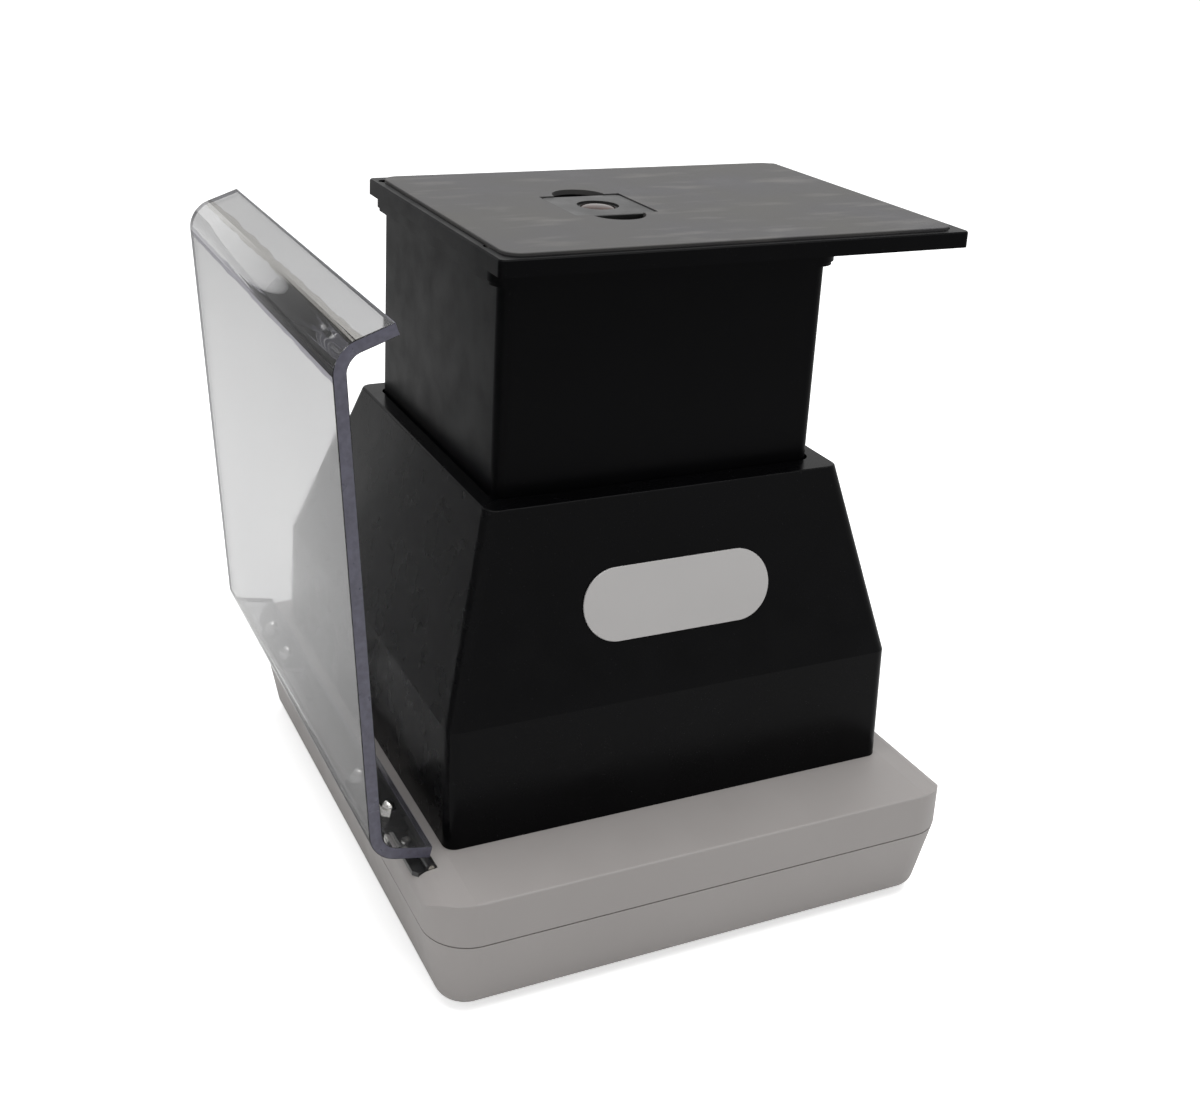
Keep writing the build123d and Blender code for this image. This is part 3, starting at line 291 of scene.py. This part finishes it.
hinge_coat = moulding("hinge coat", tone("161617"), 0.34, 900.0, 0.00006, 0.15, 0.08, tone("3A3A3A"), 0.6)
finish(hinge_coat, "hinge_fixed_leaves", "hinge_moving_leaves")

polished_steel = plated("polished steel", tone("D4D3D0"), 0.16, (1, 1, 3))
finish(polished_steel, "shield_bolts", "shield_nuts", "hinge_screws")

# The shield is one sheet of clear acrylic, 6 mm thick, bent along two lines. The sawn edges look dark
# violet, and a faint haze and fine wipe marks lie on its faces. Darker bands painted along the bends stand
# in for the shade the curved acrylic shows there.

shield_low, shield_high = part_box("uv_shield")
sheet_thickness = 0.006
inner_bend = 0.009
lip_length = 0.024
wall_height = 0.2315
lean = radians(4.28)
flare = radians(16.0)
axis_x = -0.1205
hinge_pin_radius = 0.0014
axis_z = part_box("hinge_pins")[0].z + hinge_pin_radius
underside = 0.0029
lip_angle = lean - flare

hinge_axis = Vector((axis_x, 0, axis_z))
lip_run = Vector((-cos(lip_angle), 0, -sin(lip_angle)))
lip_out = Vector((-sin(lip_angle), 0, cos(lip_angle)))
lower_tip = hinge_axis + lip_out * (underside + sheet_thickness)
lower_bend = lower_tip + lip_run * lip_length
upper_bend = lower_bend + Vector((-sin(lean), 0, cos(lean))) * wall_height
upper_tip = upper_bend + Vector((cos(lean + flare), 0, sin(lean + flare))) * lip_length

bend_setback = inner_bend / tan((pi / 2 + flare) / 2)
# Painted shade: four darker bands, one along each side of the two bends, with ragged edges.
bend_shade_reach = 0.0028
bend_shade_wander = 0.0008
bend_shade_lines = []
for bend, along, way, bend_shade_tone in (
    (lower_bend, lean, 1, tone("8B8A88")),
    (upper_bend, lean, -1, tone("3F3C4A")),
    (upper_bend, lean + flare - pi / 2, 1, tone("8A8781")),
    (lower_bend, lean - flare - pi / 2, 1, tone("9A9997")),
):
    run = Vector((-sin(along), 0, cos(along)))
    out = Vector((-cos(along), 0, -sin(along)))
    bend_shade_lines.append((bend + run * way * bend_setback + out * sheet_thickness, bend_shade_tone))

sheet = bmesh.new()
stations = (lower_tip, lower_bend, upper_bend, upper_tip)
profile = [sheet.verts.new((point.x, shield_low.y, point.z)) for point in stations]
for near, far in zip(profile, profile[1:]):
    sheet.edges.new((near, far))
for corner in (profile[1], profile[2]):
    legs = [(edge.other_vert(corner).co - corner.co).normalized() for edge in corner.link_edges]
    reach = inner_bend / tan(legs[0].angle(legs[1]) / 2)
    bmesh.ops.bevel(
        sheet, geom=[corner], offset=reach, segments=14, profile=0.5, affect="VERTICES", material=-1
    )
swept = bmesh.ops.extrude_edge_only(sheet, edges=sheet.edges)["geom"]
depth = Vector((0, shield_high.y - shield_low.y, 0))
far_points = [item for item in swept if isinstance(item, bmesh.types.BMVert)]
bmesh.ops.translate(sheet, vec=depth, verts=far_points)
bmesh.ops.recalc_face_normals(sheet, faces=sheet.faces)
middle = max(sheet.faces, key=lambda face: face.calc_area())
if middle.normal.x < 0:
    bmesh.ops.reverse_faces(sheet, faces=sheet.faces)
bmesh.ops.solidify(sheet, geom=sheet.faces, thickness=sheet_thickness)
bmesh.ops.recalc_face_normals(sheet, faces=sheet.faces)
rims = [edge for edge in sheet.edges if len(edge.link_faces) == 2 and edge.calc_face_angle() > radians(60)]
edge_break = 0.0004
bmesh.ops.bevel(sheet, geom=rims, offset=edge_break, segments=2, profile=0.5, affect="EDGES", material=-1)
tip_reach = 0.008
edge_area = sheet_thickness * depth.y * 1.1
for face in sheet.faces:
    centre = face.calc_center_median()
    by_tip = any((centre - tip).xz.length < tip_reach for tip in (lower_tip, upper_tip))
    sawn = abs(face.normal.y) > 0.95 or (by_tip and face.calc_area() < edge_area)
    face.material_index = 1 if sawn else 0

acrylic, tree, shader, place = start_material("clear acrylic")
split = tree.nodes.new("ShaderNodeSeparateXYZ")
tree.links.new(place, split.inputs["Vector"])
flat = tree.nodes.new("ShaderNodeCombineXYZ")
tree.links.new(split.outputs["X"], flat.inputs["X"])
tree.links.new(split.outputs["Z"], flat.inputs["Z"])
haze_and_bend_shade = blended(tree, between(tree, noise(tree, place, 7.0, 5.0), 0.0, 1.0), tone("B8B8B9"), tone("C0C0C0"))
bend_shade_edge = between(tree, noise(tree, place, 45.0, 4.0), -bend_shade_wander, bend_shade_wander)
# Painted shade: each band darkens the acrylic's hazy colour near its bend line.
for bend_shade_line, bend_shade_tone in bend_shade_lines:
    distance = tree.nodes.new("ShaderNodeVectorMath")
    distance.operation = "DISTANCE"
    distance.inputs[1].default_value = bend_shade_line
    tree.links.new(flat.outputs["Vector"], distance.inputs[0])
    bend_shade_distance = tree.nodes.new("ShaderNodeMath")
    bend_shade_distance.operation = "ADD"
    tree.links.new(distance.outputs["Value"], bend_shade_distance.inputs[0])
    tree.links.new(bend_shade_edge, bend_shade_distance.inputs[1])
    in_bend_shade = between(tree, bend_shade_distance.outputs[0], 1.0, 0.0, bend_shade_reach * 0.8, bend_shade_reach)
    haze_and_bend_shade = blended(tree, in_bend_shade, haze_and_bend_shade, bend_shade_tone)
tree.links.new(haze_and_bend_shade, shader.inputs["Base Color"])
wipes = noise(tree, place, 30.0, 6.0, (0.3, 0.3, 3))
tree.links.new(between(tree, wipes, 0.015, 0.05), shader.inputs["Roughness"])
bump(tree, shader, noise(tree, place, 12.0), 0.04, 0.0001)
shader.inputs["Transmission Weight"].default_value = 0.97
shader.inputs["IOR"].default_value = 1.2

cut_edge, tree, shader, place = start_material("sawn acrylic edge")
saw = noise(tree, place, 400.0, 3.0, (1, 8, 1))
violet = blended(tree, between(tree, saw, 0.0, 1.0), tone("4A4956"), tone("5A5968"))
tree.links.new(violet, shader.inputs["Base Color"])
tree.links.new(between(tree, noise(tree, place, 120.0), 0.25, 0.45), shader.inputs["Roughness"])
bump(tree, shader, saw, 0.2, 0.00004)
shader.inputs["Transmission Weight"].default_value = 0.15
shader.inputs["IOR"].default_value = 1.49
shield = new_piece(sheet, "shield_sheet", acrylic, "shield", 30)
shield.data.materials.append(cut_edge)
bend_facet_area = 0.002
for polygon in shield.data.polygons:
    polygon.use_smooth = polygon.area < bend_facet_area
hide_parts("uv_shield")

# The hood is a black moulded shell with a polished skin and sharp creases. It stands loose on the deck,
# and a fine dust lies on it.

hood_black = tone("050506")
hood_dust = tone("161617")
hood_plastic = moulding("hood black plastic", hood_black, 0.26, 1100.0, 0.00003, 0.2, 0.05, hood_dust, 0.07)
finish(hood_plastic, "hood_shell")

# Pads of black wool felt are glued inside the hood's sleeve. They rub on the tower and hold it at the
# height where it is left.

pad_felt = moulding("felt", tone("121212"), 0.95, 1500.0, 0.0003, 0.3, 0.04)
pad_felt.node_tree.nodes["Principled BSDF"].inputs["Sheen Weight"].default_value = 0.3
finish(pad_felt, "friction_pads")

# A bare plate of pale glossy plastic with round ends is stuck on the hood's leaning front. A clear film
# protects its face.

plate_gloss = moulding("name plate plastic", tone("ADABAA"), 0.22, 600.0, 0.00002, 0.02, 0.03)
plate_shader = plate_gloss.node_tree.nodes["Principled BSDF"]
plate_shader.inputs["Coat Weight"].default_value = 0.4
plate_shader.inputs["Coat Roughness"].default_value = 0.08
finish(plate_gloss, "name_plate")

# The tower is a black box with a satin grain that slides in the hood. The frame round its foot stops it,
# and the collar round its head carries the tray.

tower_black = tone("060607")
tower_dust = tone("18181A")
tower_plastic = moulding(
    "tower satin plastic", tower_black, 0.34, 1400.0, 0.00004, 0.18, 0.06, tower_dust, 0.04
)
finish(tower_plastic, "tower_shell", "tower_stop_frame", "tower_collar", "phone_tray")

# A soft mat with a leathery grain lies in the tray, cut out round the filter pocket. Use has left cloudy
# grey wear on it.

mat_foam, tree, shader, place = start_material("mat")
clouds = noise(tree, place, 18.0, 7.0)
worn = blended(tree, between(tree, clouds, 0.0, 1.0, 0.35, 0.68), tone("333234"), tone("454442"))
scuffs = between(tree, noise(tree, place, 60.0, 6.0, (0.4, 1.4, 1)), 0.0, 0.6, 0.55, 0.75)
tree.links.new(blended(tree, scuffs, worn, tone("5E5C5A")), shader.inputs["Base Color"])
tree.links.new(between(tree, clouds, 0.5, 0.7), shader.inputs["Roughness"])
bump(tree, shader, noise(tree, place, 1300.0, 3.0), 0.5, 0.00015)
shader.inputs["Specular IOR Level"].default_value = 0.4
finish(mat_foam, "tray_mat")

# The filter slide is a square of black nylon that drops into the tray's pocket. A stepped ring holds a
# domed amber glass in its round window.

slide_nylon = moulding("slide nylon", tone("0D0D0D"), 0.42, 1500.0, 0.00005, 0.2, 0.08, tone("2A2A2A"))
finish(slide_nylon, "filter_holder", "filter_ring")

glass_low, glass_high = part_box("filter_glass")
lens_x = (glass_low.x + glass_high.x) / 2
lens_y = (glass_low.y + glass_high.y) / 2
lens_radius = 0.0088
dome_share = 0.22
lens_edge = 0.0016
lens = bmesh.new()
bmesh.ops.create_uvsphere(lens, u_segments=64, v_segments=48, radius=lens_radius)
bmesh.ops.scale(lens, vec=(1, 1, dome_share), verts=lens.verts)
whole = lens.verts[:] + lens.edges[:] + lens.faces[:]
cut = bmesh.ops.bisect_plane(lens, geom=whole, plane_co=(0, 0, 0), plane_no=(0, 0, -1), clear_outer=True)
rim = [item for item in cut["geom_cut"] if isinstance(item, bmesh.types.BMEdge)]
skirt = bmesh.ops.extrude_edge_only(lens, edges=rim)["geom"]
low_points = [item for item in skirt if isinstance(item, bmesh.types.BMVert)]
bmesh.ops.translate(lens, vec=(0, 0, -lens_edge), verts=low_points)
bmesh.ops.holes_fill(lens, edges=[item for item in skirt if isinstance(item, bmesh.types.BMEdge)], sides=0)
bmesh.ops.translate(lens, vec=(lens_x, lens_y, glass_high.z), verts=lens.verts)

amber, tree, shader, place = start_material("amber glass")
brown = blended(tree, between(tree, noise(tree, place, 300.0), 0.0, 1.0), tone("2A1610"), tone("3E241A"))
tree.links.new(brown, shader.inputs["Base Color"])
tree.links.new(between(tree, noise(tree, place, 500.0), 0.03, 0.1), shader.inputs["Roughness"])
bump(tree, shader, noise(tree, place, 200.0), 0.03, 0.00005)
shader.inputs["Transmission Weight"].default_value = 0.1
shader.inputs["IOR"].default_value = 1.35
view_lens = new_piece(lens, "view_lens", amber, "filter", 40)
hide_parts("filter_glass")

# The set stands on a white sheet that runs on behind it as far as the camera sees. The sheet is a little
# brighter towards the camera, so that only the soft shadow under the base shows on it.

floor_reach = 9.0
floor_mesh = bmesh.new()
bmesh.ops.create_grid(floor_mesh, x_segments=1, y_segments=1, size=floor_reach)
floor_data = bpy.data.meshes.new("studio_floor")
floor_mesh.to_mesh(floor_data)
floor_mesh.free()
floor = bpy.data.objects.new("studio_floor", floor_data)
bpy.context.scene.collection.objects.link(floor)
paper = bpy.data.materials.new("white paper")
paper.use_nodes = True
paper_shader = paper.node_tree.nodes["Principled BSDF"]
paper_shader.inputs["Base Color"].default_value = (0.95, 0.95, 0.95, 1)
paper_shader.inputs["Roughness"].default_value = 1.0
paper_shader.inputs["Specular IOR Level"].default_value = 0.0
floor_lift = 0.6
lift = paper.node_tree.nodes.new("ShaderNodeMath")
lift.operation = "MULTIPLY"
lift.inputs[1].default_value = floor_lift
straight = paper.node_tree.nodes.new("ShaderNodeLightPath")
paper.node_tree.links.new(straight.outputs["Is Camera Ray"], lift.inputs[0])
paper.node_tree.links.new(lift.outputs[0], paper_shader.inputs["Emission Strength"])
paper_shader.inputs["Emission Color"].default_value = (1, 1, 1, 1)
floor_data.materials.append(paper)
floor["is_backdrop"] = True

# Soft light comes from all round, with a broad box overhead and a weak one at the left. The camera, the
# gloss and the clear pieces see the surroundings as plain white.

world = bpy.data.worlds.new("studio")
bpy.context.scene.world = world
world.use_nodes = True
sky = world.node_tree
fill = sky.nodes["Background"]
fill.inputs["Color"].default_value = (1, 1, 1, 1)
fill.inputs["Strength"].default_value = 0.46
white = sky.nodes.new("ShaderNodeBackground")
white.inputs["Color"].default_value = (1, 1, 1, 1)
white.inputs["Strength"].default_value = 1.0
path = sky.nodes.new("ShaderNodeLightPath")
seen = path.outputs["Is Camera Ray"]
for kind in ("Is Glossy Ray", "Is Transmission Ray"):
    either = sky.nodes.new("ShaderNodeMath")
    either.operation = "MAXIMUM"
    sky.links.new(seen, either.inputs[0])
    sky.links.new(path.outputs[kind], either.inputs[1])
    seen = either.outputs[0]
choice = sky.nodes.new("ShaderNodeMixShader")
sky.links.new(seen, choice.inputs["Fac"])
sky.links.new(fill.outputs[0], choice.inputs[1])
sky.links.new(white.outputs[0], choice.inputs[2])
sky.links.new(choice.outputs[0], sky.nodes["World Output"].inputs["Surface"])


def soft_box(name, place, width, power):
    """A square lamp with a soft face, turned to the middle of the set."""
    lamp = bpy.data.lights.new(name, "AREA")
    lamp.shape = "SQUARE"
    lamp.size = width
    lamp.energy = power
    holder = bpy.data.objects.new(name, lamp)
    bpy.context.scene.collection.objects.link(holder)
    direction = Vector((0, 0, 0.15)) - Vector(place)
    facing = direction.to_track_quat("-Z", "Y").to_matrix().to_4x4()
    holder.matrix_world = Matrix.Translation(place) @ facing


soft_box("overhead", (0.1, -0.1, 1.9), 1.8, 36.0)
soft_box("left", (-1.9, -0.3, 0.9), 1.2, 3.0)

# The camera stands where the photograph was taken from, left of the front and above the tray. It looks
# down a little, and the picture is shifted to frame the set as the photograph does.

yaw, pitch, roll = radians(26.12), radians(18.66), radians(3.0)
turn = Matrix.Rotation(roll, 3, "Z") @ Matrix.Rotation(pitch, 3, "X")
turn = turn @ Matrix(((1, 0, 0), (0, 0, -1), (0, 1, 0))) @ Matrix.Rotation(yaw, 3, "Z")
lens_data = bpy.data.cameras.new("camera")
lens_data.sensor_width = 36.0
lens_data.lens = 46.98
lens_data.shift_x = 0.0097
lens_data.shift_y = -0.13
camera = bpy.data.objects.new("camera", lens_data)
bpy.context.scene.collection.objects.link(camera)
columns = Matrix((turn[0], -turn[1], -turn[2])).transposed()
camera.matrix_world = Matrix.Translation((-0.3327, -0.6948, 0.4969)) @ columns.to_4x4()
bpy.context.scene.camera = camera
bpy.context.scene.view_settings.view_transform = "Standard"

corners = [[list(corner) for corner in cad_box], [list(corner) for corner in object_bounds()]]
